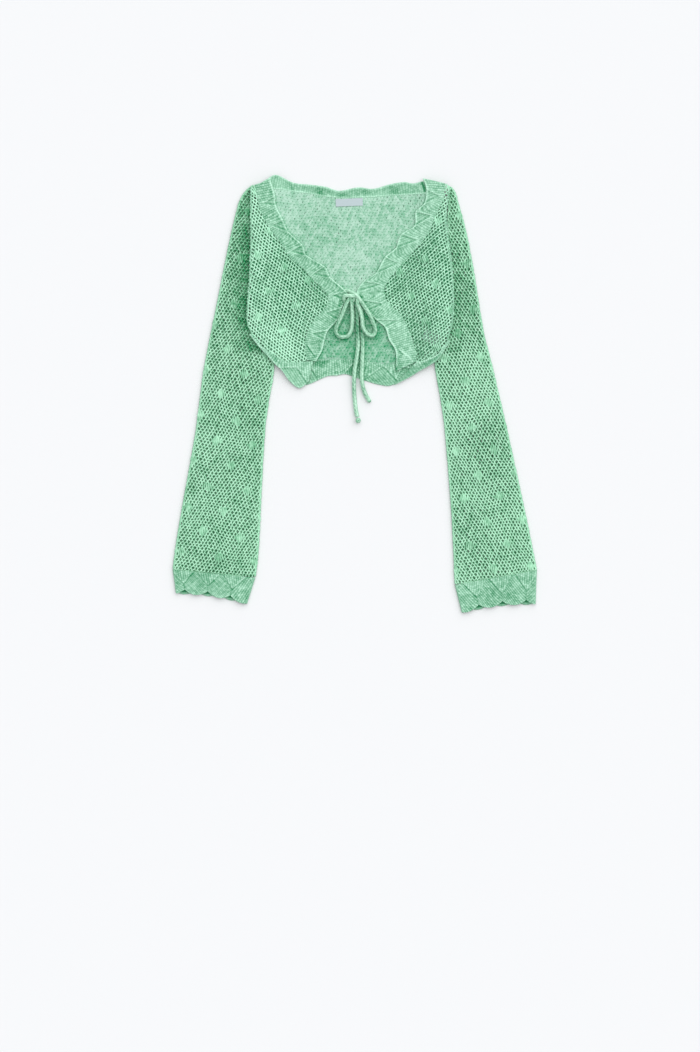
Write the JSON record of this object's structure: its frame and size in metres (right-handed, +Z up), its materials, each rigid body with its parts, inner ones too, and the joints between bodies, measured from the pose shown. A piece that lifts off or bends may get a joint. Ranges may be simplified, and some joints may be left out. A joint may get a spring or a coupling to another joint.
{
  "type": "cropped crochet cardigan",
  "caption": "Cropped open-net crochet cardigan with long flared sleeves, fan edging and a front tie, laid flat with its sleeves folded down.",
  "frame": {"origin": "on the surface the cardigan lies on, under the middle of its outline without the tie", "axes": "+Y towards the neck edge, +X towards the wearer's left sleeve, +Z up from the surface"},
  "size_m": [0.5461, 0.6562, 0.0153],
  "materials": {
    "net": "mint cotton crochet, open diamond net with small solid diamonds, matt",
    "back net": "mint cotton crochet seen from its inside, open net over the surface below, matt",
    "edging": "mint cotton, close ribbed fans, matt",
    "tie cord": "mint cotton crochet cord, matt",
    "label": "plain pale satin ribbon, blank"
  },
  "bodies": {
    "root": {"back_panel": "back net", "cuff_left": "edging", "cuff_right": "edging", "front_band_left": "edging", "front_band_right": "edging", "front_left": "net", "front_right": "net", "hem_band_back": "edging", "hem_band_left": "edging", "hem_band_right": "edging", "neck_band_back": "edging", "neck_label": "label", "sleeve_left": "net", "sleeve_right": "net", "tie_end_knot": "tie cord", "tie_knot": "tie cord", "tie_loop_left": "tie cord", "tie_loop_right": "tie cord", "tie_tail_left": "tie cord", "tie_tail_right": "tie cord"}
  },
  "joints": []
}
